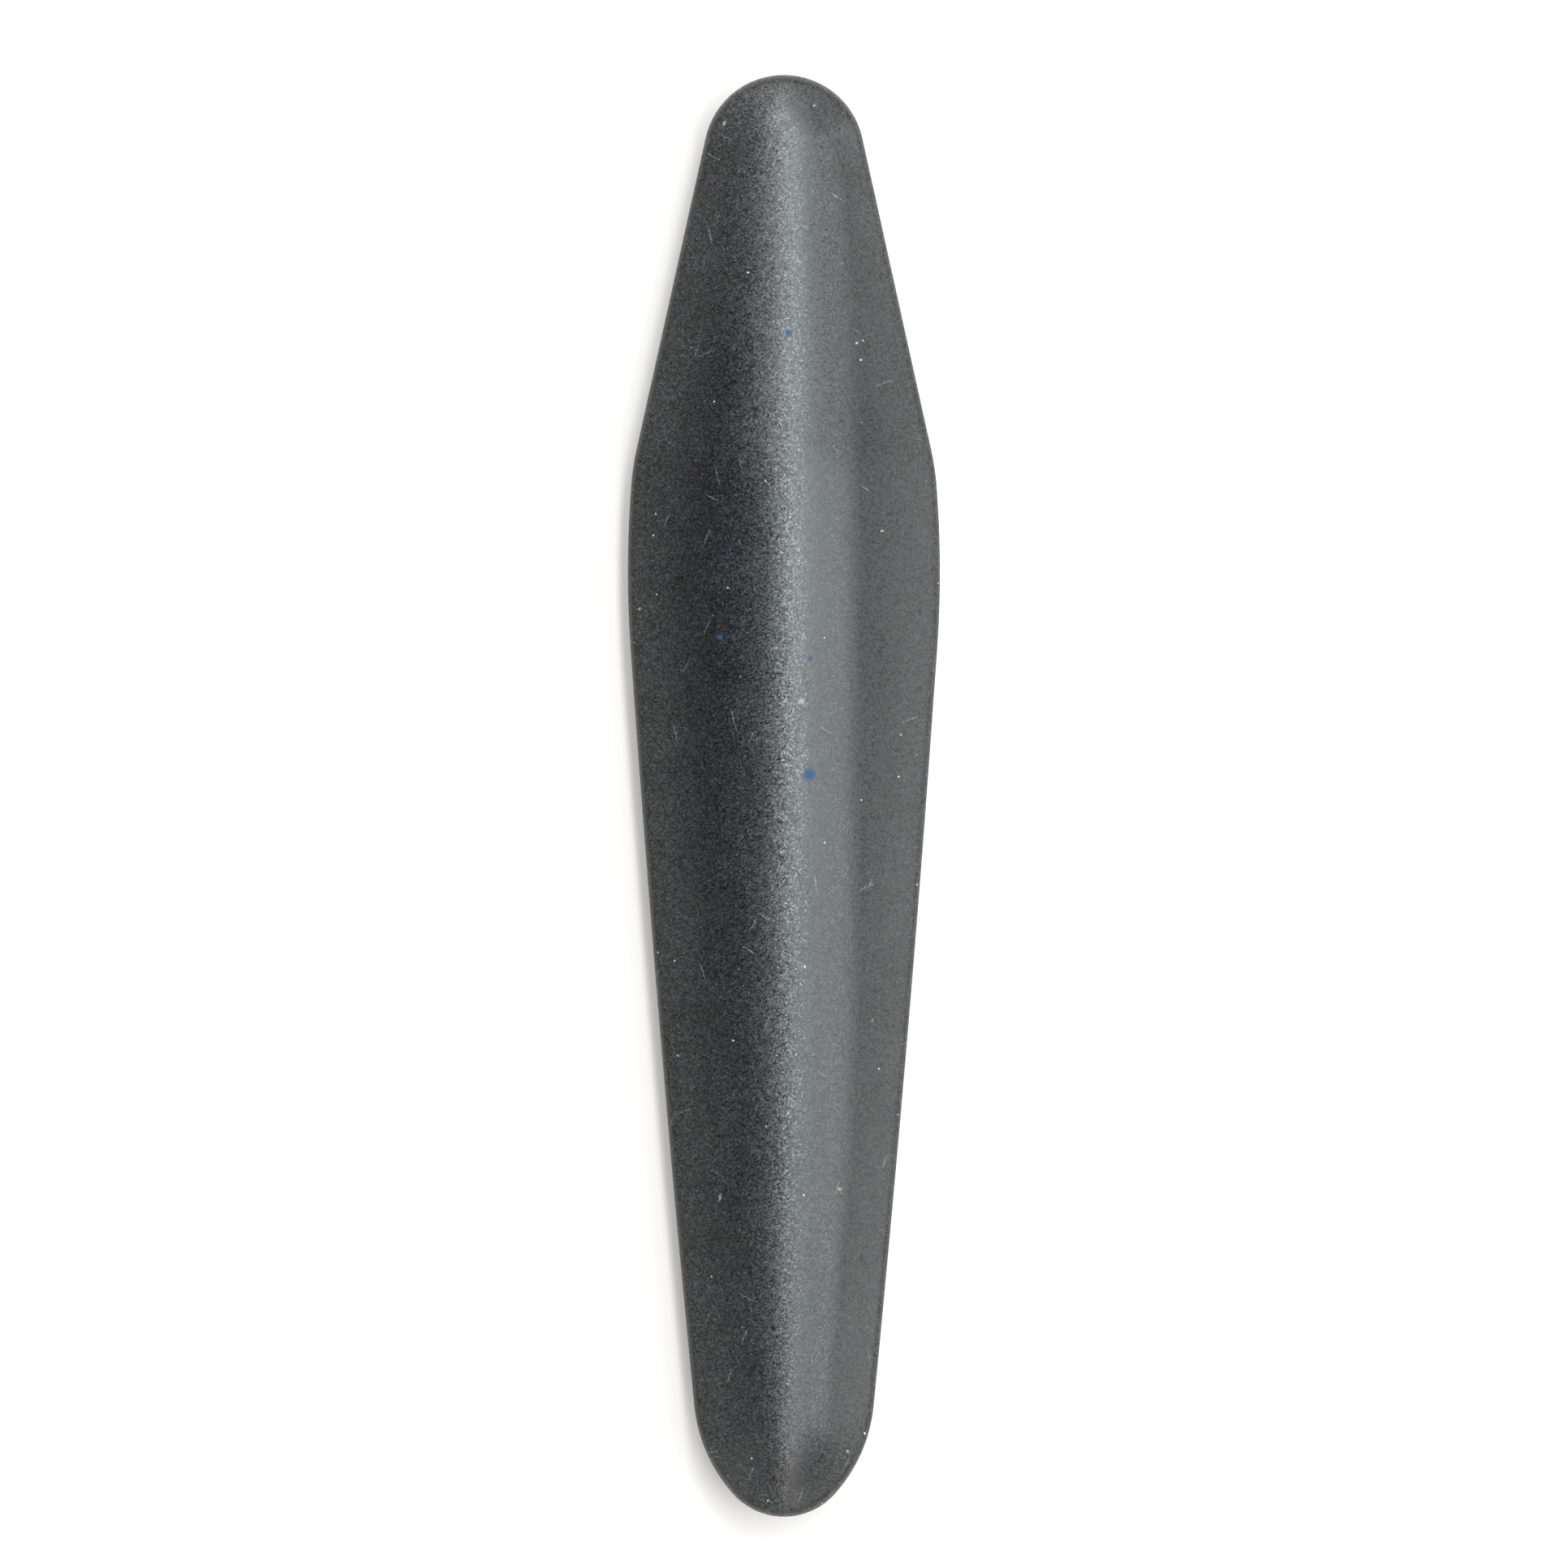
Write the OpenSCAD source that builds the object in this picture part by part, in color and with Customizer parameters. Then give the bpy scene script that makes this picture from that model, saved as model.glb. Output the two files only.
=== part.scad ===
// Massage stone of honed basalt: one solid bar of stone, held in the hand.
//
// From above it is a long drop. A narrow round head widens along two straight sides to
// the shoulders and the belly, and a long, nearly straight flank runs down to the tail.
// On the upper and the lower face alike, two flat banks rise from the rim and meet in a
// rounded ridge along the middle. The rim is rounded all the way round, and the lower
// ridge has a long flat, on which the stone lies still.
//
// X is the width, Y the length from tail to head, Z the thickness. The origin is below
// the middle of the stone, on the surface that it lies on.

/* [Outline] */
// Length, from the tip of the tail to the tip of the head
stone_l = 170; // [162:1:178]
// Width at the belly, where the stone is widest
belly_w = 36.9; // [35.5:0.1:38.5]
// Radius of the belly's side
belly_r = 130; // [110:5:150]
// Angle through which the belly's side turns in towards the shoulder
belly_turn = 4.5; // [3:0.5:6]
// Radius of the shoulder, between the belly and the straight side of the head
shoulder_r = 30; // [20:1:40]
// Angle between the straight side of the head and the middle line
head_taper = 12.5; // [12:0.1:13]
// Radius of the round head
head_r = 9.5; // [9:0.1:10]
// Angle between the flank and the middle line, where the flank leaves the belly
flank_start = 4; // [3.8:0.1:4.2]
// Angle between the flank and the middle line, where the flank meets the tail
flank_end = 5.6; // [5.4:0.1:5.8]
// Radius of the tail's tip
tail_r = 8.1; // [7.5:0.1:8.7]
// Angle to each side through which the tail's tip keeps that radius
tail_turn = 48; // [46:1:50]

/* [Section] */
// Steepness of the banks
bank_angle = 32; // [26:1:36]
// Steepness of the banks at the tail
tail_bank_angle = 29; // [24:1:36]
// Radius of the ridge along the belly
ridge_r = 17.2; // [14:0.1:19]
// Radius of the ridge at the tip of the head
head_ridge_r = 13; // [9:0.5:15]
// Radius of the ridge at the tip of the tail
tail_ridge_r = 10; // [8:0.5:13]
// Depth to which the lower ridge is ground flat
rest_flat = 1.5; // [1:0.1:2]
// Radius of the rounded rim along the sides
rim_r = 1.3; // [1:0.1:2.4]
// Radius of the rounded rim at the tips of head and tail
tip_rim_r = 2; // [1.6:0.1:3.6]

/* [Ends] */
// Length over which the ridge narrows towards the head
head_fade = 40; // [25:1:50]
// Length over which the ridge narrows and the banks flatten towards the tail
tail_fade = 65; // [45:1:75]
// Length over which the rim grows rounder towards each tip
rim_fade = 12; // [8:0.5:20]
// Length of the head's dome
head_dome_l = 14; // [12:0.1:16]
// Width of the head's dome for each millimetre of its length
head_dome_k = 0.72; // [0.66:0.01:0.78]
// Length of the tail's dome
tail_dome_l = 11.5; // [10:0.1:16]
// Width of the tail's dome for each millimetre of its length
tail_dome_k = 0.73; // [0.68:0.01:0.78]

/* [Hidden] */

stone_colour = "#4a4e50";

// Steps along each stretch of the outline, across a face and round the rim
tail_steps = 9;
heel_steps = 8;
flank_steps = 18;
belly_steps = 5;
shoulder_steps = 4;
taper_steps = 10;
head_steps = 13;
face_steps = 16;
rim_steps = 6;

// Movement along an arc, from the direction of its normal at one end to the other
function turn(r, from, to) = r * [cos(to) - cos(from), sin(to) - sin(from)];

// The side is a chain of arcs that run into each other, and one straight stretch.
// Each arc is given by its radius and the directions of its normal, where 0 points to
// the side and 90 to the head. Taper, heel and flank take the sizes that close the chain.
heel_start = tail_turn - 90;
shoulder_in = turn(belly_r, 0, belly_turn) + turn(shoulder_r, belly_turn, head_taper);
taper_l = (belly_w / 2 + shoulder_in.x - head_r * cos(head_taper)) / sin(head_taper);
taper_run = taper_l * [-sin(head_taper), cos(head_taper)];
head_run = turn(head_r, head_taper, 90);
belly_y = stone_l - shoulder_in.y - taper_run.y - head_run.y;

tail_run = turn(tail_r, -90, heel_start);
belly_run = turn(belly_r, -flank_start, 0);
open_run = [belly_w / 2, belly_y] - belly_run - tail_run;
heel_unit = turn(1, heel_start, -flank_end);
flank_unit = turn(1, -flank_end, -flank_start);
heel_r = cross(open_run, flank_unit) / cross(heel_unit, flank_unit);
flank_r = cross(heel_unit, open_run) / cross(heel_unit, flank_unit);

heel_at = tail_run;
flank_at = heel_at + heel_r * heel_unit;
belly_at = flank_at + flank_r * flank_unit;
shoulder_at = [belly_w / 2, belly_y] + turn(belly_r, 0, belly_turn);
taper_at = [belly_w / 2, belly_y] + shoulder_in;
head_at = taper_at + taper_run;

// Stations [x, y, direction of the normal] along an arc or a straight stretch,
// without its last point
function arc_stations(at, r, from, to, steps) =
    [for (i = [0:steps - 1])
        let (a = from + (to - from) * i / steps, p = at + turn(r, from, a)) [p.x, p.y, a]];
function straight_stations(at, run, a, steps) =
    [for (i = [0:steps - 1]) let (p = at + run * i / steps) [p.x, p.y, a]];

stations = concat(
    arc_stations([0, 0], tail_r, -90, heel_start, tail_steps),
    arc_stations(heel_at, heel_r, heel_start, -flank_end, heel_steps),
    arc_stations(flank_at, flank_r, -flank_end, -flank_start, flank_steps),
    arc_stations(belly_at, belly_r, -flank_start, belly_turn, belly_steps),
    arc_stations(shoulder_at, shoulder_r, belly_turn, head_taper, shoulder_steps),
    straight_stations(taper_at, taper_run, head_taper, taper_steps),
    arc_stations(head_at, head_r, head_taper, 90, head_steps),
    [[0, stone_l, 90]]
);
last = len(stations) - 1;

// A soft step from 0 to 1
function ease(t) = let (u = max(0, min(1, t))) u * u * (3 - 2 * u);
function blend(a, b, t) = a + (b - a) * t;

// Radius of the ridge, rise of the banks and radius of the rim at a place along the stone
function ridge_radius(y) =
    blend(tail_ridge_r, ridge_r, ease(y / tail_fade))
    - (ridge_r - head_ridge_r) * (1 - ease((stone_l - y) / head_fade));
function bank_slope(y) = blend(tan(tail_bank_angle), tan(bank_angle), ease(y / tail_fade));

function rim_radius(y) = blend(tip_rim_r, rim_r, ease(min(y, stone_l - y) / rim_fade));

// The ends are domes: there, the distance beyond the dome's middle counts as well
function head_reach(y) = max(0, y - (stone_l - head_dome_l)) * head_dome_k;
function tail_reach(y) = max(0, tail_dome_l - y) * tail_dome_k;
function reach(y) = head_reach(y) + tail_reach(y);

// How far a face lies below the ridge at a distance from the middle
function fall(s, r) =
    let (s_round = r * sin(bank_angle))
    s < s_round ? r - sqrt(r * r - s * s)
                : r * (1 - cos(bank_angle)) + (s - s_round) * tan(bank_angle);
function face_height(x, side_x, y) =
    bank_slope(y) / tan(bank_angle)
    * (fall(norm([side_x, reach(y)]), ridge_radius(y)) - fall(norm([x, reach(y)]), ridge_radius(y)));

// Half the angle through which the rim is rounded at a station, so that it runs into
// the banks without an edge
function rim_angle(s) =
    let (k = s.y < stone_l / 2 ? tail_dome_k : head_dome_k)
    atan2(norm([s.x, reach(s.y)]), bank_slope(s.y) * norm([s.x, k * reach(s.y)]));
function rim_point(s, a) =
    let (r = rim_radius(s.y), out = r * (cos(a) - 1))
    [s.x + out * cos(s.z), s.y + out * sin(s.z), r * sin(a)];
function rim_points(s) =
    [for (i = [1:rim_steps - 1]) rim_point(s, rim_angle(s) * (1 - 2 * i / rim_steps))];

// A face at a station, from its right side to its left
function face_points(s) =
    let (side = rim_point(s, rim_angle(s)))
    [for (i = [0:face_steps])
        let (x = side.x * (1 - 2 * i / face_steps))
        [x, side.y, side.z + face_height(x, side.x, side.y)]];

function flip_x(points) = [for (p = points) [-p.x, p.y, p.z]];
function flip_z(points) = [for (p = points) [p.x, p.y, -p.z]];
function backwards(list) = [for (i = [len(list) - 1:-1:0]) list[i]];

// A ring round the stone at a station: upper face, left rim, lower face, right rim
function ring(s) = concat(
    face_points(s), flip_x(rim_points(s)), backwards(flip_z(face_points(s))), backwards(rim_points(s)));
// At a tip the ring closes up: one point above, the rim, and one point below
function tip(s) = concat([rim_point(s, rim_angle(s))], rim_points(s), [rim_point(s, -rim_angle(s))]);

face_n = face_steps + 1;
rim_n = rim_steps - 1;
ring_n = 2 * (face_n + rim_n);
tip_n = rim_n + 2;

rings = [for (j = [1:last - 1]) ring(stations[j])];
half_t = max([for (r = rings) r[face_steps / 2].z]);
stone_points = concat(tip(stations[0]), [for (r = rings) each r], tip(stations[last]));

// Number of a ring's point i at a tip
function tip_index(i) =
    i < face_n ? 0
    : i < face_n + rim_n ? i - face_n + 1
    : i < 2 * face_n + rim_n ? tip_n - 1
    : ring_n - i;
function point_index(j, i) =
    j == 0 ? tip_index(i % ring_n)
    : j == last ? tip_n + (last - 1) * ring_n + tip_index(i % ring_n)
    : tip_n + (j - 1) * ring_n + i % ring_n;

function without_repeats(face) = [for (i = [0:len(face) - 1]) if (face[i] != face[(i + 1) % len(face)]) face[i]];
stone_faces = [
    for (j = [0:last - 1], i = [0:ring_n - 1])
        let (
            a = point_index(j, i), b = point_index(j, i + 1),
            c = point_index(j + 1, i + 1), d = point_index(j + 1, i)
        )
        for (face = [without_repeats([a, b, c]), without_repeats([a, c, d])])
            if (len(face) == 3) face
];

module whole_stone()
    translate([0, -stone_l / 2, half_t - rest_flat])
        polyhedron(stone_points, stone_faces, convexity = 2);

module ground_away()
    translate([-belly_w / 2, -stone_l / 2, -belly_w])
        cube([belly_w, stone_l, belly_w]);

module stone_body()
    color(stone_colour)
        difference() {
            whole_stone();
            ground_away();
        }

stone_body();
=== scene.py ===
# %% [markdown]
# # A basalt massage stone
#
# The object is one solid bar of dark basalt. From above it is a long drop with a narrow
# round head, a wide belly and a blunt tail. A rounded ridge runs along the middle of each
# face, flat banks slope from it to a rounded rim, and a flat below lets the stone lie
# still. The maker grinds the blank and then hones it with finer and finer grit, which
# stops short of a polish: the surface is a dark satin with a fine grain.
#
# There is only one piece here, so the work goes into its surface: a fine mesh with the
# slow waves that hand honing leaves and with small chips, and a stone material that is
# built from its minerals.

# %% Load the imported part
import math

import bmesh
import bpy
from mathutils import Matrix, Vector, noise


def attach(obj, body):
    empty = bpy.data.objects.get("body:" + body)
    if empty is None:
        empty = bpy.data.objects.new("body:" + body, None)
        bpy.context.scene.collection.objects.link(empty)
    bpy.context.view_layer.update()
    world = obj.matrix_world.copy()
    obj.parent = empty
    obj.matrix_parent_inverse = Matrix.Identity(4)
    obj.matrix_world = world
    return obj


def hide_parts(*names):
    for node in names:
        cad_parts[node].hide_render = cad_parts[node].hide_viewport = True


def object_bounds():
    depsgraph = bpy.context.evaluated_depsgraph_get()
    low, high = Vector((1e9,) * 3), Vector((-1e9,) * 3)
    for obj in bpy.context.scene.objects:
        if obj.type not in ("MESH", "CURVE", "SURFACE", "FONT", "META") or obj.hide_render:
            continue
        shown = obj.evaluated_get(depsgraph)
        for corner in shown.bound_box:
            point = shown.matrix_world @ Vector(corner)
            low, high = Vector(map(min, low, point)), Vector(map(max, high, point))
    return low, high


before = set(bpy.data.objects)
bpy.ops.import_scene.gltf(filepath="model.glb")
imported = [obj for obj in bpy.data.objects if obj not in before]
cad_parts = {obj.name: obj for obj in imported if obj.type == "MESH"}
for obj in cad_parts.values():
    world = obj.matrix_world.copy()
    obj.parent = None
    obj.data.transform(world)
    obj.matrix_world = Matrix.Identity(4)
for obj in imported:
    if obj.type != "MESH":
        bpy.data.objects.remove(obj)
cad_low, cad_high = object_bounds()
size = cad_high - cad_low
MM = 0.001
print(f"CAD box: {size.x / MM:.1f} x {size.y / MM:.1f} x {size.z / MM:.1f} mm")

# %% [markdown]
# ## The outline
#
# Half of the outline is a chain of arcs that run into each other, with one straight
# stretch beside the head. A draughtsman would draw it with a compass. Each arc is given
# by its radius and by the directions of its normal at both ends, where 0 degrees points
# sideways and 90 degrees points to the head. Arcs meet without a corner because one ends
# in the direction in which the next begins.

# %% Arcs of the outline
HEAD_R = 9.5 * MM
HEAD_TAPER = 12.5
SHOULDER_R = 30 * MM
BELLY_R = 130 * MM
BELLY_TURN = 4.5
FLANK_START = 4.0
FLANK_END = 5.6
TAIL_R = 8.1 * MM
HEEL_START = 42.0


def turn(radius, start, end):
    """The movement along an arc whose normal swings from start to end."""
    a, b = math.radians(start), math.radians(end)
    return Vector((math.cos(b) - math.cos(a), math.sin(b) - math.sin(a))) * radius


def along(angle):
    """The direction in which the outline runs where its normal has this angle."""
    a = math.radians(angle)
    return Vector((-math.sin(a), math.cos(a)))


half_width = size.x / 2
shoulder_in = turn(BELLY_R, 0, BELLY_TURN) + turn(SHOULDER_R, BELLY_TURN, HEAD_TAPER)
head_side = HEAD_R * math.cos(math.radians(HEAD_TAPER))
taper_length = (half_width + shoulder_in.x - head_side) / -along(HEAD_TAPER).x
taper_run = along(HEAD_TAPER) * taper_length
head_run = turn(HEAD_R, HEAD_TAPER, 90)
belly_y = cad_high.y - shoulder_in.y - taper_run.y - head_run.y
print(f"the belly is {(cad_high.y - belly_y) / MM:.1f} mm from the tip of the head")

# %% Heel and flank close the chain
tail_run = turn(TAIL_R, -90, -HEEL_START)
belly_run = turn(BELLY_R, -FLANK_START, 0)
open_run = Vector((half_width, belly_y - cad_low.y)) - belly_run - tail_run
heel_unit = turn(1, -HEEL_START, -FLANK_END)
flank_unit = turn(1, -FLANK_END, -FLANK_START)
heel_r = open_run.cross(flank_unit) / heel_unit.cross(flank_unit)
flank_r = heel_unit.cross(open_run) / heel_unit.cross(flank_unit)
print(f"heel radius {heel_r / MM:.1f} mm, flank radius {flank_r / MM:.0f} mm")

# %% Stations along the outline
ROW_STEP = 0.42 * MM
TIP_STEP = 0.3 * MM

# Each stretch: its radius, or None where it is straight, the directions of its normal at
# both ends, and the distance between its stations.
STRETCHES = [
    (TAIL_R, -90, -HEEL_START, TIP_STEP),
    (heel_r, -HEEL_START, -FLANK_END, TIP_STEP),
    (flank_r, -FLANK_END, -FLANK_START, ROW_STEP),
    (BELLY_R, -FLANK_START, BELLY_TURN, ROW_STEP),
    (SHOULDER_R, BELLY_TURN, HEAD_TAPER, ROW_STEP),
    (None, HEAD_TAPER, HEAD_TAPER, ROW_STEP),
    (HEAD_R, HEAD_TAPER, 90, TIP_STEP),
]


def walk_outline():
    """Stations (x, y, angle of the normal) from the tip of the tail to that of the head."""
    at = Vector((0, cad_low.y))
    stations = [(at.x, at.y, -90.0)]
    for radius, start, end, step in STRETCHES:
        run = taper_run if radius is None else turn(radius, start, end)
        steps = max(2, round(run.length / step))
        for i in range(1, steps + 1):
            angle = start + (end - start) * i / steps
            part = run * i / steps if radius is None else turn(radius, start, angle)
            stations.append((at.x + part.x, at.y + part.y, angle))
        at += run
    return stations


stations = walk_outline()
print(f"{len(stations)} stations, the last at x = {stations[-1][0] / MM:.4f} mm")

# %% [markdown]
# ## The section
#
# Across the stone, a face falls from the ridge on a circle and then runs straight down
# the bank. Towards both tips the ridge grows narrower and the rim rounder, and towards
# the tail the banks flatten a little. At each end the face turns into a dome, because
# the distance beyond the dome's middle counts as well as the distance from the middle
# line. Formulas give all this better than pulled vertices would, because they leave no
# dents for the light to find.

# %% Ridge, banks and rim
BANK = math.tan(math.radians(32))
TAIL_BANK = math.tan(math.radians(29))
RIDGE_R, HEAD_RIDGE_R, TAIL_RIDGE_R = 17.2 * MM, 13 * MM, 10 * MM
RIM_R, TIP_RIM_R = 1.3 * MM, 2 * MM
HEAD_FADE, TAIL_FADE, RIM_FADE = 40 * MM, 65 * MM, 12 * MM
HEAD_DOME, HEAD_DOME_K = 14 * MM, 0.72
TAIL_DOME, TAIL_DOME_K = 11.5 * MM, 0.73


def ease(t):
    """A soft step from 0 to 1."""
    t = min(1.0, max(0.0, t))
    return t * t * (3 - 2 * t)


def blend(a, b, t):
    """The value that lies the part t of the way from a to b."""
    return a + (b - a) * t


def ridge_radius(y):
    towards_tail = blend(TAIL_RIDGE_R, RIDGE_R, ease((y - cad_low.y) / TAIL_FADE))
    return towards_tail - (RIDGE_R - HEAD_RIDGE_R) * (1 - ease((cad_high.y - y) / HEAD_FADE))


def bank_slope(y):
    return blend(TAIL_BANK, BANK, ease((y - cad_low.y) / TAIL_FADE))


def rim_radius(y):
    return blend(TIP_RIM_R, RIM_R, ease(min(y - cad_low.y, cad_high.y - y) / RIM_FADE))


print(f"the banks slope by {BANK:.3f}, at the tip of the tail by {bank_slope(cad_low.y):.3f}")


# %% The height of a face
def reach(y):
    """The distance beyond the middle of a dome, as it counts for the height."""
    head = max(0.0, y - (cad_high.y - HEAD_DOME)) * HEAD_DOME_K
    tail = max(0.0, cad_low.y + TAIL_DOME - y) * TAIL_DOME_K
    return head + tail


def fall(distance, radius):
    """How far a face lies below the ridge."""
    round_part = radius * BANK / math.hypot(1, BANK)
    if distance < round_part:
        return radius - math.sqrt(radius**2 - distance**2)
    return radius * (1 - 1 / math.hypot(1, BANK)) + (distance - round_part) * BANK


def face_height(x, side_x, y):
    """The height of a face above the line where the bank meets the rim."""
    radius, beyond = ridge_radius(y), reach(y)
    drop = fall(math.hypot(side_x, beyond), radius) - fall(math.hypot(x, beyond), radius)
    return drop * bank_slope(y) / BANK


print(f"the ridge is {face_height(0, half_width, belly_y) / MM:.1f} mm above the belly's side")


# %% The curve of the rim
def rim_angle(station):
    """Half the angle of the rim, so that it runs into the bank without an edge."""
    x, y, _ = station
    k = TAIL_DOME_K if y < 0 else HEAD_DOME_K
    beyond = reach(y)
    return math.atan2(math.hypot(x, beyond), bank_slope(y) * math.hypot(x, k * beyond))


def rim_point(station, angle, side):
    """The point of the rim at a station, at an angle above the middle of its thickness."""
    x, y, normal = station
    radius = rim_radius(y)
    inwards = radius * (1 - math.cos(angle))
    out = Vector((math.cos(math.radians(normal)), math.sin(math.radians(normal))))
    return Vector((side * (x - inwards * out.x), y - inwards * out.y, radius * math.sin(angle)))


belly_station = (half_width, belly_y, 0.0)
bank_top = rim_point(belly_station, rim_angle(belly_station), 1)
half_thickness = bank_top.z + face_height(0, bank_top.x, belly_y)
print(f"the stone would be {2 * half_thickness / MM:.1f} mm thick without its flat")

# %% [markdown]
# ## The body
#
# A real stone is shaped from a flat blank. The mesh is made in the same way: a grid for
# the upper face is laid out between the stations, its rows close up at both tips, and its
# border is extruded outwards and down in a few steps that follow the rim. A mirrored copy
# gives the lower half. A sphere or a box pushed into shape would put its poles or corners
# where the light shows them.

# %% The upper face from a grid
COLUMNS = 92
DOUBLES = 0.0001 * MM

stone_mesh = bmesh.new()
station_of = stone_mesh.verts.layers.int.new("station")
rows = len(stations) - 1
bmesh.ops.create_grid(stone_mesh, x_segments=COLUMNS, y_segments=rows, size=0.5)

for vert in stone_mesh.verts:
    row = round((vert.co.y + 0.5) * rows)
    across = vert.co.x * 2
    station = stations[row]
    side = rim_point(station, rim_angle(station), 1)
    x = across * side.x
    vert[station_of] = row
    vert.co = Vector((x, side.y, side.z + face_height(x, side.x, side.y)))

bmesh.ops.remove_doubles(stone_mesh, verts=stone_mesh.verts[:], dist=DOUBLES)
print(f"upper face: {len(stone_mesh.faces)} faces")

# %% The rim from its border
RIM_STEPS = 5

border = [edge for edge in stone_mesh.edges if edge.is_boundary]
for step in range(1, RIM_STEPS + 1):
    made = bmesh.ops.extrude_edge_only(stone_mesh, edges=border)["geom"]
    made_edges = [part for part in made if isinstance(part, bmesh.types.BMEdge)]
    border = [edge for edge in made_edges if edge.is_boundary]
    for vert in (part for part in made if isinstance(part, bmesh.types.BMVert)):
        station = stations[vert[station_of]]
        angle = rim_angle(station) * (1 - step / RIM_STEPS)
        vert.co = rim_point(station, angle, math.copysign(1, vert.co.x))
print(f"with half of its rim: {len(stone_mesh.faces)} faces")

# %% The lower half
MIRROR_MERGE = 0.001 * MM

upper_half = stone_mesh.verts[:] + stone_mesh.edges[:] + stone_mesh.faces[:]
bmesh.ops.mirror(stone_mesh, geom=upper_half, axis="Z", merge_dist=MIRROR_MERGE)
bmesh.ops.remove_doubles(stone_mesh, verts=stone_mesh.verts[:], dist=DOUBLES)
bmesh.ops.recalc_face_normals(stone_mesh, faces=stone_mesh.faces[:])
open_edges = sum(1 for edge in stone_mesh.edges if not edge.is_manifold)
print(f"whole stone: {len(stone_mesh.faces)} faces, {open_edges} open edges")

# %% [markdown]
# ## Traces of hand honing
#
# A machine would leave perfect banks. A hand that rubs a stone over grit leaves slow,
# shallow waves, which make the edges of a reflection swim a little. They are some
# hundredths of a millimetre deep, so they never show in the outline. Noise with a fixed
# place in space gives them, and each vertex only moves inwards, so that the stone never
# leaves its box.

# %% Slow waves: length and depth
WAVES = [(11 * MM, 0.022 * MM), (34 * MM, 0.06 * MM)]
# The hand strokes along the stone, which draws the waves out that way.
WAVE_SQUEEZE = 0.6
WAVE_PLACE = Vector((7.3, 2.1, 5.9))

stone_mesh.normal_update()
for vert in stone_mesh.verts:
    depth = 0.0
    for length, height in WAVES:
        spot = Vector((vert.co.x, vert.co.y * WAVE_SQUEEZE, vert.co.z)) / length
        depth += height * 0.5 * (1 + noise.noise(spot + WAVE_PLACE))
    vert.co -= vert.normal * depth
print(f"waves up to {sum(height for _, height in WAVES) / MM:.3f} mm deep")

# %% [markdown]
# ## Nicks
#
# Basalt isn't the same all through. Where a pale crystal broke out during grinding, a
# nick stays behind. The bigger ones are real dents in the mesh, because only a dent
# still shows when the lamp stands low. Their places are also used by the material,
# which colours them, so both read the same list.

# %% Nicks: x, y, half length and half width in mm, turn in degrees, depth in mm, colour
NICKS = [
    (-7.0, 79.0, 0.34, 0.22, 70, 0.10, "#7f7c72"),
    (3.5, 81.0, 0.20, 0.17, 0, 0.05, "#8d918f"),
    (8.5, 53.0, 0.22, 0.15, 0, 0.05, "#999b96"),
    (9.0, 51.0, 0.22, 0.14, 40, 0.05, "#989c99"),
    (2.0, 11.0, 0.42, 0.34, 20, 0.04, "#6f7472"),
    (-12.5, -30.5, 0.18, 0.17, 0, 0.05, "#8f928e"),
    (-7.5, -47.0, 0.50, 0.15, 75, 0.08, "#787c79"),
    (6.5, -46.0, 0.32, 0.20, -30, 0.06, "#77725f"),
    (11.5, 31.0, 0.30, 0.12, 15, 0.03, "#9b9d95"),
    (-17.0, 22.0, 0.20, 0.16, 0, 0.04, "#a4a8a5"),
    (7.5, -77.0, 0.16, 0.16, 0, 0.03, "#c5c8c4"),
    (9.5, -75.0, 0.14, 0.14, 0, 0.03, "#c5c8c4"),
]
# The dent runs out softly over this many millimetres round the coloured spot.
NICK_SLOPE = 0.3


def carve(nick):
    """Sinks a soft dent into the upper face."""
    x, y, half_length, half_width, degrees, depth, _ = nick
    moved = 0
    turned = math.radians(degrees)
    for vert in stone_mesh.verts:
        if vert.co.z < 0:
            continue
        dx, dy = vert.co.x / MM - x, vert.co.y / MM - y
        u = (dx * math.cos(turned) + dy * math.sin(turned)) / (half_length + NICK_SLOPE)
        v = (dy * math.cos(turned) - dx * math.sin(turned)) / (half_width + NICK_SLOPE)
        distance = math.hypot(u, v)
        if distance < 1:
            vert.co.z -= depth * MM * (1 - ease(distance))
            moved += 1
    return moved


for nick in NICKS:
    print(f"nick at {nick[0]:6.1f} {nick[1]:6.1f}: {carve(nick)} vertices")

# %% [markdown]
# ## The flat to lie on
#
# A stone that rests on a round ridge rocks for a long time, so its lower ridge is ground
# flat. A cut with a plane would leave a knife edge and one huge face. Here the vertices
# below the plane are lifted onto it instead, and those close to it ease into it, which
# keeps the mesh even and closed and rounds the edge as a few strokes of grit would.

# %% Lift the lowest vertices onto the plane
FLAT_EASE = 0.12 * MM
middle_z = cad_high.z - half_thickness


def above_flat(z):
    """The height z, kept above the flat with a soft edge."""
    if z > FLAT_EASE:
        return z
    if z < -FLAT_EASE:
        return 0.0
    return (z + FLAT_EASE) ** 2 / (4 * FLAT_EASE)


for vert in stone_mesh.verts:
    vert.co.z = above_flat(vert.co.z + middle_z)
print(f"lowest point {min(vert.co.z for vert in stone_mesh.verts) / MM:.3f} mm")

# %% [markdown]
# ## The finished piece
#
# The mesh becomes an object at the origin, and it takes the place of the plain CAD body.
# Its faces are shaded smooth, because a honed stone has no edges. The mesh is fine
# enough that its outline is smooth too, without a subdivision modifier.

# %% The honed stone
body_data = bpy.data.meshes.new("honed_stone")
stone_mesh.to_mesh(body_data)
stone_mesh.free()
for polygon in body_data.polygons:
    polygon.use_smooth = True
honed_stone = bpy.data.objects.new("honed_stone", body_data)
bpy.context.collection.objects.link(honed_stone)
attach(honed_stone, "root")
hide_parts("stone_body")
triangles = sum(len(polygon.vertices) - 2 for polygon in body_data.polygons)
print(f"honed_stone: {triangles} triangles")

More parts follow.
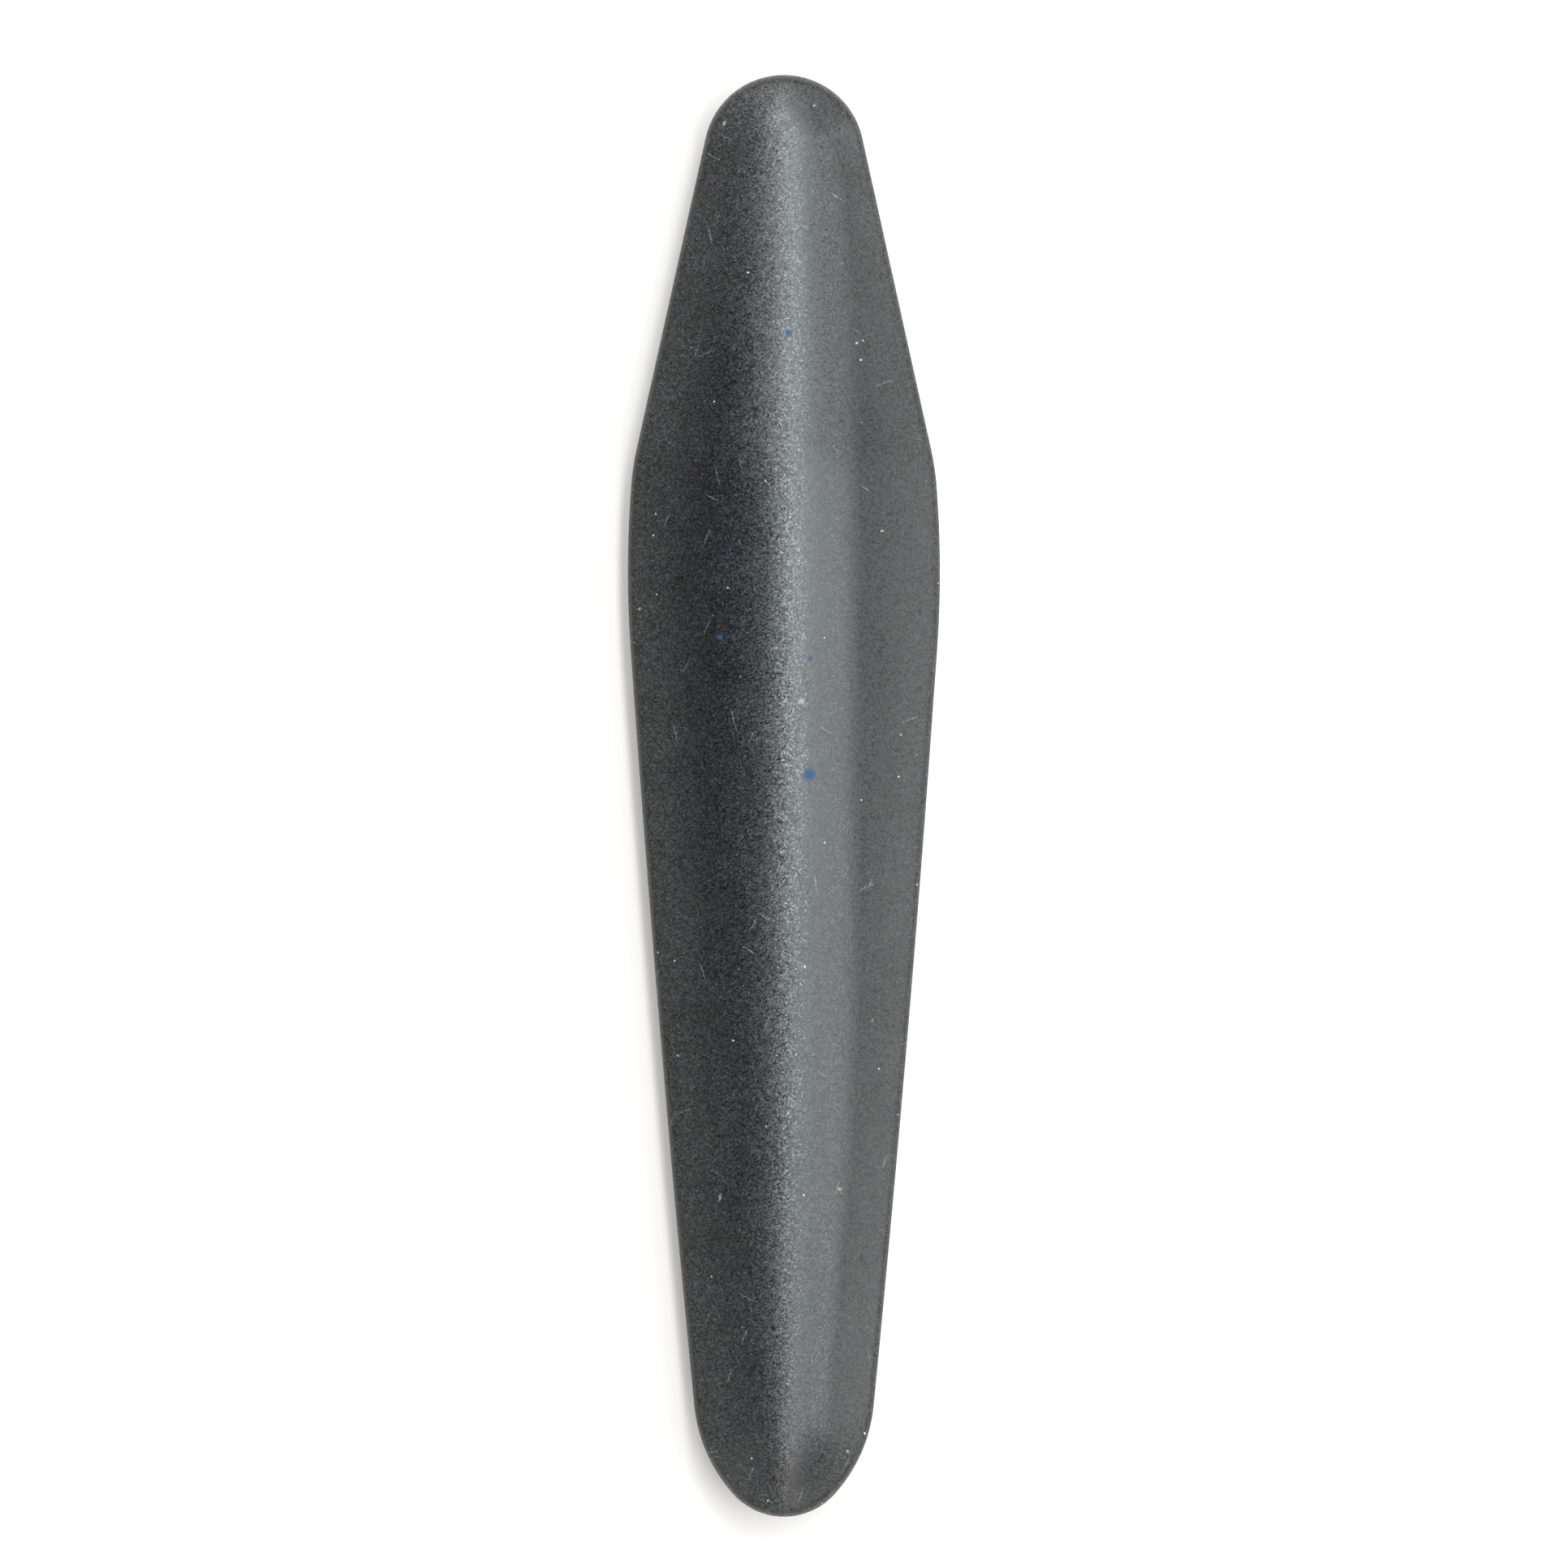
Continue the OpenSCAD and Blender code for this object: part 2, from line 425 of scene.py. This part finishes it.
# %% [markdown]
# ## Honed basalt
#
# Basalt is lava that cooled fast, so its crystals are only some tenths of a millimetre
# wide: dark pyroxene and ore with pale laths of feldspar between them. Honing cuts them
# all down to one surface, and each ends up at a slightly different angle. That gives the
# eye a dark grey satin that glitters where it reflects a lamp. One noise for everything
# would look like sandpaper, so the material is built in the order of the stone itself: a
# tone for the rock, crystals with their own tone and tilt, then dots, inclusions,
# scratches and the paler banks, which have been rubbed most and which also carry painted
# light: a painted reflection of the bright table that grows lighter towards the rim.

# %% Helpers for materials
# Some nodes number their sockets. A Map Range takes a value at 0, the range that it comes
# from at 1 and 2, and the range that it goes to at 3 and 4. A Mix takes its factor at 0
# and blends two numbers at 2 and 3, or two colours at 6 and 7. A Math node adds, unless
# it is given another operation.
def linear(hex_colour):
    """The linear colour of an sRGB hex value."""
    channels = [int(hex_colour[i:i + 2], 16) / 255 for i in (1, 3, 5)]
    bent = [c / 12.92 if c <= 0.04045 else ((c + 0.055) / 1.055) ** 2.4 for c in channels]
    return bent + [1.0]


def add_node(tree, kind, inputs=None, **settings):
    """Adds a node. Inputs go by name or number, and take a value or another node's socket."""
    node = tree.nodes.new(kind)
    for name, value in settings.items():
        setattr(node, name, value)
    for name, value in (inputs or {}).items():
        if isinstance(value, bpy.types.NodeSocket):
            tree.links.new(value, node.inputs[name])
        else:
            node.inputs[name].default_value = value
    return node


print("a middle grey of #808080 is", round(linear("#808080")[0], 3), "in linear light")

# %% A new material and its coordinates
STONE_IOR = 1.5

basalt = bpy.data.materials.new("honed_basalt")
basalt.use_nodes = True
rock = basalt.node_tree
shader = rock.nodes["Principled BSDF"]
shader.inputs["IOR"].default_value = STONE_IOR
place = add_node(rock, "ShaderNodeTexCoord").outputs["Object"]
place_parts = add_node(rock, "ShaderNodeSeparateXYZ", {0: place}).outputs
print(f"honed_basalt starts with an IOR of {STONE_IOR}")

# %% Crystals
# Each cell is one crystal, and its random colour gives three numbers: tone, hue, gloss.
CRYSTAL = 0.17 * MM

crystals = add_node(rock, "ShaderNodeTexVoronoi", {"Vector": place, "Scale": 1 / CRYSTAL})
crystal = add_node(rock, "ShaderNodeSeparateXYZ", {0: crystals.outputs["Color"]}).outputs
crystal_tone, crystal_hue, crystal_gloss = crystal[0], crystal[1], crystal[2]
print(f"crystals {CRYSTAL / MM:.2f} mm wide")

# %% Clouds in the rock
# The melt wasn't stirred, so the stone is a little paler here and darker there. The noise
# seldom leaves the range from 0.3 to 0.7.
CLOUD = 8 * MM
CLOUD_LOW, CLOUD_HIGH = 0.3, 0.7

clouds = add_node(rock, "ShaderNodeTexNoise",
                  {"Vector": place, "Scale": 1 / CLOUD, "Detail": 5.0,
                   "Roughness": 0.72}).outputs[0]
print(f"clouds {CLOUD / MM:.0f} mm wide")

# %% Wear and painted light on the banks
# The banks and the rim are handled most, which leaves them paler than the ridge. The same
# paler tone also holds painted light: a painted reflection of the bright table that grows
# lighter towards the rim. The heights of a bank's two ends are counted from the middle of
# the rim.
BANK_TOP, BANK_END = 6.9 * MM, 1.1 * MM

above_middle = add_node(rock, "ShaderNodeMath",
                        {0: place_parts[2], 1: middle_z}, operation="SUBTRACT").outputs[0]
from_middle = add_node(rock, "ShaderNodeMath",
                       {0: above_middle}, operation="ABSOLUTE").outputs[0]
# Paler towards the rim: rubbed wear and a painted reflection of the bright table.
bank_wear_and_painted_light = add_node(rock, "ShaderNodeMapRange",
                {0: from_middle, 1: BANK_TOP, 2: BANK_END, 3: 0.0, 4: 1.0},
                interpolation_type="SMOOTHSTEP").outputs[0]
print(f"worn from {BANK_TOP / MM:.1f} mm above the rim downwards")

# %% Ground rim
# The rim is ground but not honed, so it is duller.
RIM_TOP, RIM_SIDE = 0.95 * MM, 0.45 * MM

rim = add_node(rock, "ShaderNodeMapRange",
               {0: from_middle, 1: RIM_TOP, 2: RIM_SIDE, 3: 0.0, 4: 1.0}).outputs[0]
print(f"ground rim up to {RIM_TOP / MM:.2f} mm from its middle")

# %% [markdown]
# ## The tone of the rock
#
# A painter would lay one grey down and speckle it. Here the grey of the ridge is
# multiplied by the clouds and by each crystal's own shade, a few crystals are feldspar
# and far paler, and each is a touch cooler or warmer than its neighbour. The paler banks
# are added on top and not multiplied, because worn stone scatters light from its surface
# and loses contrast. Their paler tone is partly wear and partly painted light: a painted
# reflection of the bright table that grows towards the rim.

# %% Shades of clouds and crystals
CLOUD_SHADE = (0.78, 1.22)
CRYSTAL_SHADE = (0.15, 1.85)
# The share of the crystals where feldspar begins and where it is pure, and its extra shade.
FELDSPAR_FROM, FELDSPAR_PURE, FELDSPAR_SHADE = 0.90, 0.98, 1.2

cloud_shade = add_node(rock, "ShaderNodeMapRange",
                       {0: clouds, 1: CLOUD_LOW, 2: CLOUD_HIGH,
                        3: CLOUD_SHADE[0], 4: CLOUD_SHADE[1]}).outputs[0]
crystal_shade = add_node(rock, "ShaderNodeMapRange",
                         {0: crystal_tone, 1: 0.0, 2: 1.0,
                          3: CRYSTAL_SHADE[0], 4: CRYSTAL_SHADE[1]}).outputs[0]
feldspar = add_node(rock, "ShaderNodeMapRange",
                    {0: crystal_tone, 1: FELDSPAR_FROM, 2: FELDSPAR_PURE,
                     3: 0.0, 4: FELDSPAR_SHADE}).outputs[0]
crystal_shade = add_node(rock, "ShaderNodeMath", {0: crystal_shade, 1: feldspar}).outputs[0]
shade = add_node(rock, "ShaderNodeMath",
                 {0: cloud_shade, 1: crystal_shade}, operation="MULTIPLY").outputs[0]
print(f"{1 - FELDSPAR_FROM:.0%} of the crystals are feldspar")

# %% Tone, hue, and wear with painted light on the banks
# The worn tone is partly the rubbed banks' own colour and partly a painted reflection of the bright
# table.
RIDGE_TONE, BANK_WEAR_AND_LIGHT_TONE = linear("#1f2021"), linear("#313130")
COOL, WARM = linear("#b4d6ff"), linear("#ffe0c2")
BANK_WEAR_AND_LIGHT_SHADE = (0.5, 1.5)

tone = add_node(rock, "ShaderNodeVectorMath",
                {0: RIDGE_TONE[:3], "Scale": shade}, operation="SCALE").outputs[0]
hue = add_node(rock, "ShaderNodeMix",
               {0: crystal_hue, 6: COOL, 7: WARM}, data_type="RGBA").outputs[2]
tone = add_node(rock, "ShaderNodeVectorMath", {0: tone, 1: hue}, operation="MULTIPLY").outputs[0]

bank_wear_and_light_shade = add_node(rock, "ShaderNodeMapRange",
                      {0: crystal_tone, 1: 0.0, 2: 1.0,
                       3: BANK_WEAR_AND_LIGHT_SHADE[0], 4: BANK_WEAR_AND_LIGHT_SHADE[1]}).outputs[0]
bank_wear_and_light_shade = add_node(rock, "ShaderNodeMath",
                      {0: bank_wear_and_painted_light, 1: bank_wear_and_light_shade}, operation="MULTIPLY").outputs[0]
paler = [bank_part - ridge_part for bank_part, ridge_part in zip(BANK_WEAR_AND_LIGHT_TONE, RIDGE_TONE)][:3]
# Adds the paler banks: rubbed wear and a painted reflection of the bright table.
bank_wear_and_light_colour = add_node(rock, "ShaderNodeVectorMath",
                {0: paler, "Scale": bank_wear_and_light_shade}, operation="SCALE").outputs[0]
tone = add_node(rock, "ShaderNodeVectorMath", {0: tone, 1: bank_wear_and_light_colour}).outputs[0]
print("wear adds", [round(part, 4) for part in paler], "to the tone")

# %% [markdown]
# ## Dots, inclusions and scratches
#
# Single grains of feldspar and ore stand out as dots, some of them in the blue of a
# mineral that filled a bubble. Dots that only have to be many come from cells, of which
# a small share is filled. The blue ones are few and big enough to be looked at one by
# one, so they have places of their own, found by dropping a ray onto the upper face. A
# little noise frays their edges, because no mineral is a perfect disc.

# %% Dots: cell width in mm, radius as a part of it, share of the cells, colour
DOTS = [
    (2.2, 0.048, 0.32, "#a9aeac"),
    (1.7, 0.060, 0.25, "#565c5e"),
    (3.4, 0.045, 0.10, "#101112"),
]
# A dot fades between these parts of its radius.
DOT_EDGE, DOT_CORE = 1.3, 0.7

for number, (cell, radius, share, colour) in enumerate(DOTS):
    # Each kind of dot is taken from another place in the pattern.
    moved = add_node(rock, "ShaderNodeVectorMath",
                     {0: place, 1: (0.5 * number, 0.3, 0.1)}).outputs[0]
    cells = add_node(rock, "ShaderNodeTexVoronoi", {"Vector": moved, "Scale": 1 / (cell * MM)})
    pick = add_node(rock, "ShaderNodeSeparateXYZ", {0: cells.outputs["Color"]}).outputs[0]
    pick = add_node(rock, "ShaderNodeMath", {0: pick, 1: share}, operation="LESS_THAN").outputs[0]
    inside = add_node(rock, "ShaderNodeMapRange",
                      {0: cells.outputs["Distance"], 1: radius * DOT_EDGE, 2: radius * DOT_CORE,
                       3: 0.0, 4: 1.0}).outputs[0]
    mask = add_node(rock, "ShaderNodeMath", {0: pick, 1: inside}, operation="MULTIPLY").outputs[0]
    tone = add_node(rock, "ShaderNodeMix",
                    {0: mask, 6: tone, 7: linear(colour)}, data_type="RGBA").outputs[2]
print(f"{len(DOTS)} kinds of dots")

# %% Frayed coordinates
FRAY = 0.3 * MM
FRAY_REACH = 0.5 * MM

fray = add_node(rock, "ShaderNodeTexNoise",
                {"Vector": place, "Scale": 1 / FRAY, "Detail": 2.0}).outputs["Color"]
fray = add_node(rock, "ShaderNodeVectorMath",
                {0: fray, 1: (0.5, 0.5, 0.5)}, operation="SUBTRACT").outputs[0]
fray = add_node(rock, "ShaderNodeVectorMath",
                {0: fray, "Scale": FRAY_REACH}, operation="SCALE").outputs[0]
frayed_place = add_node(rock, "ShaderNodeVectorMath", {0: place, 1: fray}).outputs[0]
print(f"edges fray by up to {FRAY_REACH / 2 / MM:.2f} mm")

# %% Blue inclusions: x, y, radius in mm, strength
INCLUSIONS = [
    (0.5, 54.0, 0.42, 0.8),
    (-1.0, 52.0, 0.40, 0.3),
    (-1.5, 20.0, 0.26, 0.8),
    (-7.5, 18.5, 0.36, 0.8),
    (3.0, 16.0, 0.34, 0.6),
    (3.0, 2.5, 0.74, 0.9),
    (1.5, -41.0, 0.32, 0.5),
]
INCLUSION_BLUE = linear("#0f3856")
# Inclusions and nicks fade between these parts of their size.
SPOT_EDGE, SPOT_CORE = 1.2, 0.5

bpy.context.view_layer.update()


def on_top(x, y):
    """The point of the upper face above x and y in mm."""
    _, point, _, _ = honed_stone.ray_cast(Vector((x * MM, y * MM, 1)), Vector((0, 0, -1)))
    return point


blue = None
for x, y, radius, strength in INCLUSIONS:
    apart = add_node(rock, "ShaderNodeVectorMath",
                     {0: frayed_place, 1: on_top(x, y)}, operation="DISTANCE").outputs["Value"]
    mask = add_node(rock, "ShaderNodeMapRange",
                    {0: apart, 1: radius * SPOT_EDGE * MM, 2: radius * SPOT_CORE * MM,
                     3: 0.0, 4: strength}).outputs[0]
    if blue is None:
        blue = mask
    else:
        blue = add_node(rock, "ShaderNodeMath", {0: blue, 1: mask}, operation="MAXIMUM").outputs[0]
tone = add_node(rock, "ShaderNodeMix",
                {0: blue, 6: tone, 7: INCLUSION_BLUE}, data_type="RGBA").outputs[2]
print(f"{len(INCLUSIONS)} blue inclusions")

# %% The colour of the nicks
NICK_STRENGTH = 0.85

for x, y, half_length, half_width, degrees, _, colour in NICKS:
    shape = add_node(rock, "ShaderNodeMapping",
                     {"Vector": frayed_place, "Location": on_top(x, y),
                      "Rotation": (0, 0, math.radians(degrees)),
                      "Scale": (half_length * MM, half_width * MM, half_length * MM)},
                     vector_type="TEXTURE").outputs[0]
    apart = add_node(rock, "ShaderNodeVectorMath", {0: shape}, operation="LENGTH").outputs["Value"]
    mask = add_node(rock, "ShaderNodeMapRange",
                    {0: apart, 1: SPOT_EDGE, 2: SPOT_CORE, 3: 0.0, 4: NICK_STRENGTH}).outputs[0]
    tone = add_node(rock, "ShaderNodeMix",
                    {0: mask, 6: tone, 7: linear(colour)}, data_type="RGBA").outputs[2]
print(f"{len(NICKS)} coloured nicks")

# %% Hairline scratches: direction in degrees, cell length and width in mm, share of the cells
# A stray grain of grit leaves a short pale line. Each layer of long cells has its own
# direction, and a line runs through the middle of a few of its cells.
SCRATCHES = [
    (22, 6.0, 2.6, 0.03),
    (68, 5.0, 2.2, 0.05),
    (104, 7.0, 3.0, 0.04),
    (150, 5.0, 2.8, 0.03),
]
SCRATCH_WIDTH = 0.05 * MM
SCRATCH_CELL_HEIGHT = 12 * MM
SCRATCH_CORE = 0.3
# The half length of a line, as a part of its cell: where it fades out and where it is full.
SCRATCH_END, SCRATCH_FULL = 0.22, 0.10
SCRATCH_STRENGTH = 0.42
SCRATCH_COLOUR = linear("#8b9090")


def hairlines(number, degrees, length, width, share):
    """The mask of one layer of scratches."""
    layer = add_node(rock, "ShaderNodeMapping",
                     {"Vector": frayed_place, "Location": (0.02 * number, 0.013, 0),
                      "Rotation": (0, 0, math.radians(degrees)),
                      "Scale": (length * MM, width * MM, SCRATCH_CELL_HEIGHT)},
                     vector_type="TEXTURE").outputs[0]
    cells = add_node(rock, "ShaderNodeTexVoronoi", {"Vector": layer, "Scale": 1.0})
    middle = add_node(rock, "ShaderNodeVectorMath",
                      {0: layer, 1: cells.outputs["Position"]}, operation="SUBTRACT").outputs[0]
    off = add_node(rock, "ShaderNodeSeparateXYZ", {0: middle}).outputs
    ahead = add_node(rock, "ShaderNodeMath", {0: off[0]}, operation="ABSOLUTE").outputs[0]
    aside = add_node(rock, "ShaderNodeMath", {0: off[1]}, operation="ABSOLUTE").outputs[0]
    half = SCRATCH_WIDTH / (width * MM)
    thin = add_node(rock, "ShaderNodeMapRange",
                    {0: aside, 1: half, 2: half * SCRATCH_CORE, 3: 0.0, 4: 1.0}).outputs[0]
    short = add_node(rock, "ShaderNodeMapRange",
                     {0: ahead, 1: SCRATCH_END, 2: SCRATCH_FULL, 3: 0.0, 4: 1.0}).outputs[0]
    pick = add_node(rock, "ShaderNodeSeparateXYZ", {0: cells.outputs["Color"]}).outputs[0]
    pick = add_node(rock, "ShaderNodeMath", {0: pick, 1: share}, operation="LESS_THAN").outputs[0]
    line = add_node(rock, "ShaderNodeMath", {0: thin, 1: short}, operation="MULTIPLY").outputs[0]
    return add_node(rock, "ShaderNodeMath", {0: line, 1: pick}, operation="MULTIPLY").outputs[0]


# %% Scratches on the tone
layers = [hairlines(number, *row) for number, row in enumerate(SCRATCHES)]
scratched = layers[0]
for layer in layers[1:]:
    scratched = add_node(rock, "ShaderNodeMath",
                         {0: scratched, 1: layer}, operation="MAXIMUM").outputs[0]
scratched = add_node(rock, "ShaderNodeMath",
                     {0: scratched, 1: SCRATCH_STRENGTH}, operation="MULTIPLY").outputs[0]
tone = add_node(rock, "ShaderNodeMix",
                {0: scratched, 6: tone, 7: SCRATCH_COLOUR}, data_type="RGBA").outputs[2]
rock.links.new(tone, shader.inputs["Base Color"])
print(f"scratches in {len(layers)} directions")

# %% [markdown]
# ## Gloss and tilt
#
# Soft and hard crystals take the grit differently, so some end up glossier than others,
# and each leans a little away from the face of the stone. Together they make the satin:
# the stone still mirrors a lamp, but as a band that breaks up into sparks at its edge.
# A single roughness would give a smooth smear, like plastic.

# %% Gloss
GLOSS = (0.25, 0.52)
CLOUD_GLOSS = 0.03
RIM_DULLNESS = 0.16
INCLUSION_ROUGHNESS = 0.85

gloss = add_node(rock, "ShaderNodeMapRange",
                 {0: crystal_gloss, 1: 0.0, 2: 1.0, 3: GLOSS[0], 4: GLOSS[1]}).outputs[0]
cloud_gloss = add_node(rock, "ShaderNodeMapRange",
                       {0: clouds, 1: CLOUD_LOW, 2: CLOUD_HIGH,
                        3: -CLOUD_GLOSS, 4: CLOUD_GLOSS}).outputs[0]
gloss = add_node(rock, "ShaderNodeMath", {0: gloss, 1: cloud_gloss}).outputs[0]
dull = add_node(rock, "ShaderNodeMath", {0: rim, 1: RIM_DULLNESS}, operation="MULTIPLY").outputs[0]
gloss = add_node(rock, "ShaderNodeMath", {0: gloss, 1: dull}).outputs[0]
gloss = add_node(rock, "ShaderNodeMix", {0: blue, 2: gloss, 3: INCLUSION_ROUGHNESS}).outputs[0]
rock.links.new(gloss, shader.inputs["Roughness"])
print(f"roughness from {GLOSS[0]} to {GLOSS[1]}")

# %% Tilted crystals
# Each crystal's surface leans away from the stone's by up to this slope.
LEAN = 0.078

upright = add_node(rock, "ShaderNodeNewGeometry").outputs["Normal"]
lean = add_node(rock, "ShaderNodeVectorMath",
                {0: crystals.outputs["Color"], 1: (0.5, 0.5, 0.5)}, operation="SUBTRACT").outputs[0]
lean = add_node(rock, "ShaderNodeVectorMath",
                {0: lean, "Scale": 2 * LEAN}, operation="SCALE").outputs[0]
leaning = add_node(rock, "ShaderNodeVectorMath", {0: upright, 1: lean}).outputs[0]
leaning = add_node(rock, "ShaderNodeVectorMath", {0: leaning}, operation="NORMALIZE").outputs[0]
print(f"crystals lean by up to {math.degrees(math.atan(LEAN)):.1f} degrees")

# %% Fine relief
# What the last grit leaves between the crystals.
RELIEF = 0.16 * MM
RELIEF_DEPTH = 0.004 * MM

relief = add_node(rock, "ShaderNodeTexNoise",
                  {"Vector": place, "Scale": 1 / RELIEF, "Detail": 2.0,
                   "Roughness": 0.6}).outputs[0]
relief = add_node(rock, "ShaderNodeBump",
                  {"Height": relief, "Distance": RELIEF_DEPTH, "Strength": 1.0,
                   "Normal": leaning}).outputs[0]
rock.links.new(relief, shader.inputs["Normal"])
body_data.materials.append(basalt)
print(f"honed_basalt: {len(rock.nodes)} nodes")

# %% [markdown]
# ## The table
#
# A studio lays such a stone on a sheet of opal acrylic that is lit from below. The sheet
# is white all over, and still takes a soft shadow beside the stone, because only part of
# its light comes from below. It glows more towards its borders, so that it stays white
# where the softboxes no longer reach. A plain white plane would turn grey there.

# %% The sheet
TABLE_HALF = 3.0

floor_data = bpy.data.meshes.new("floor")
floor_mesh = bmesh.new()
bmesh.ops.create_grid(floor_mesh, x_segments=1, y_segments=1, size=TABLE_HALF)
floor_mesh.to_mesh(floor_data)
floor_mesh.free()
floor = bpy.data.objects.new("floor", floor_data)
bpy.context.collection.objects.link(floor)
print(f"table {2 * TABLE_HALF:.0f} m wide")

# %% Opal acrylic
# The strength of the glow near the stone and at the borders, and the distances in metres
# between which it rises.
GLOW_NEAR, GLOW_FAR = 0.31, 1.0
GLOW_START, GLOW_END = 0.2, 1.0

white = bpy.data.materials.new("white_acrylic")
white.use_nodes = True
table = white.node_tree
white_shader = table.nodes["Principled BSDF"]
white_shader.inputs["Base Color"].default_value = linear("#aea8a4")
white_shader.inputs["Emission Color"].default_value = (1, 1, 1, 1)
table_place = add_node(table, "ShaderNodeTexCoord").outputs["Object"]
table_reach = add_node(table, "ShaderNodeVectorMath",
                       {0: table_place}, operation="LENGTH").outputs["Value"]
glow = add_node(table, "ShaderNodeMapRange",
                {0: table_reach, 1: GLOW_START, 2: GLOW_END,
                 3: GLOW_NEAR, 4: GLOW_FAR}).outputs[0]
table.links.new(glow, white_shader.inputs["Emission Strength"])
white_shader.inputs["Roughness"].default_value = 1.0
white_shader.inputs["Specular IOR Level"].default_value = 0.0
floor_data.materials.append(white)
print(f"the table glows with {GLOW_NEAR} near the stone and {GLOW_FAR} at its borders")

# %% [markdown]
# ## Softboxes
#
# A satin surface shows mostly what it mirrors, so the lamps draw the picture. A narrow
# strip right above makes the bright band along the crest, two wide boxes on the right
# give the paler banks there, and strips at both ends catch the domes. The left side
# stays almost dark, which shows the ridge. One big light would flatten the stone. Each
# box is placed by where it stands in the sky as seen from the stone, since that decides
# where its reflection falls.

# %% Softboxes
# name, degrees to the right of straight above, degrees towards the head, angular width
# and length as seen from the stone, radiance, colour
DAYLIGHT, NEUTRAL, TUNGSTEN = "#ecf7fa", "#ffffff", "#fff0d8"
SOFTBOXES = [
    ("strip_above", 8, 10, 6, 46, 40, DAYLIGHT),
    ("strip_middle", 8, -5, 6, 10, 8, DAYLIGHT),
    ("strip_head", -2, 48, 12, 34, 12, NEUTRAL),
    ("box_head_left", -16, 40, 18, 26, 5, DAYLIGHT),
    ("box_head_right", 24, 44, 16, 26, 3, DAYLIGHT),
    ("strip_heel", 9, -32, 8, 12, 24, NEUTRAL),
    ("strip_tail", 9, -56, 6, 24, 6, NEUTRAL),
    ("box_tail", 10, -52, 24, 24, 1, TUNGSTEN),
    ("box_right", 30, 0, 26, 48, 5.5, DAYLIGHT),
    ("box_low_right", 50, 0, 12, 50, 8, NEUTRAL),
    ("box_far_right", 64, 0, 12, 60, 1, NEUTRAL),
    ("box_low_left", -55, -38, 24, 30, 1, DAYLIGHT),
]
SOFTBOX_DISTANCE = 0.6
AIM = Vector((0, 0, size.z / 2))


def covering(angle):
    """The size that covers an angle at the distance of the softboxes."""
    return 2 * SOFTBOX_DISTANCE * math.tan(math.radians(angle) / 2)


def add_softbox(name, right, forward, width, length, radiance, colour):
    """A softbox that faces the stone. Its power follows from its size and radiance."""
    data = bpy.data.lights.new(name, "AREA")
    data.shape = "RECTANGLE"
    data.size, data.size_y = covering(width), covering(length)
    data.energy = radiance * math.pi * data.size * data.size_y
    data.color = linear(colour)[:3]
    r, f = math.radians(right), math.radians(forward)
    back = Vector((math.sin(r) * math.cos(f), math.sin(f), math.cos(r) * math.cos(f)))
    sideways = Vector((math.cos(r), 0, -math.sin(r)))
    turned = Matrix((sideways, back.cross(sideways), back)).transposed()
    softbox = bpy.data.objects.new(name, data)
    softbox.matrix_world = Matrix.Translation(AIM + back * SOFTBOX_DISTANCE) @ turned.to_4x4()
    softbox.visible_camera = False
    bpy.context.collection.objects.link(softbox)


for row in SOFTBOXES:
    add_softbox(*row)
print(f"{len(SOFTBOXES)} softboxes")

# %% The room
# The walls are far away and dark, and give only a trace of light from all sides.
ROOM_LIGHT = 0.02

room = bpy.data.worlds.new("pale_room")
room.use_nodes = True
room_shader = room.node_tree.nodes["Background"]
room_shader.inputs["Color"].default_value = (ROOM_LIGHT, ROOM_LIGHT, ROOM_LIGHT, 1)
bpy.context.scene.world = room
print(f"the room gives {ROOM_LIGHT}")

# %% [markdown]
# ## Camera
#
# A catalogue shows such a stone from straight above with a long lens, so that head and
# tail look the same size. The camera's height follows from the lens and from how much of
# the table it has to show.

# %% A long lens straight above
VIEW_SPAN = 184.8 * MM
VIEW_SHIFT = 1.4 * MM
LENS, SENSOR = 120.0, 36.0

camera_data = bpy.data.cameras.new("camera")
camera_data.lens = LENS
camera_data.sensor_width = SENSOR
camera = bpy.data.objects.new("camera", camera_data)
camera_distance = VIEW_SPAN * LENS / SENSOR
camera.location = (0, VIEW_SHIFT, middle_z + camera_distance)
bpy.context.collection.objects.link(camera)
bpy.context.scene.camera = camera
bpy.context.scene.view_settings.view_transform = "Standard"
print(f"camera {camera_distance / MM:.0f} mm above the middle of the stone")
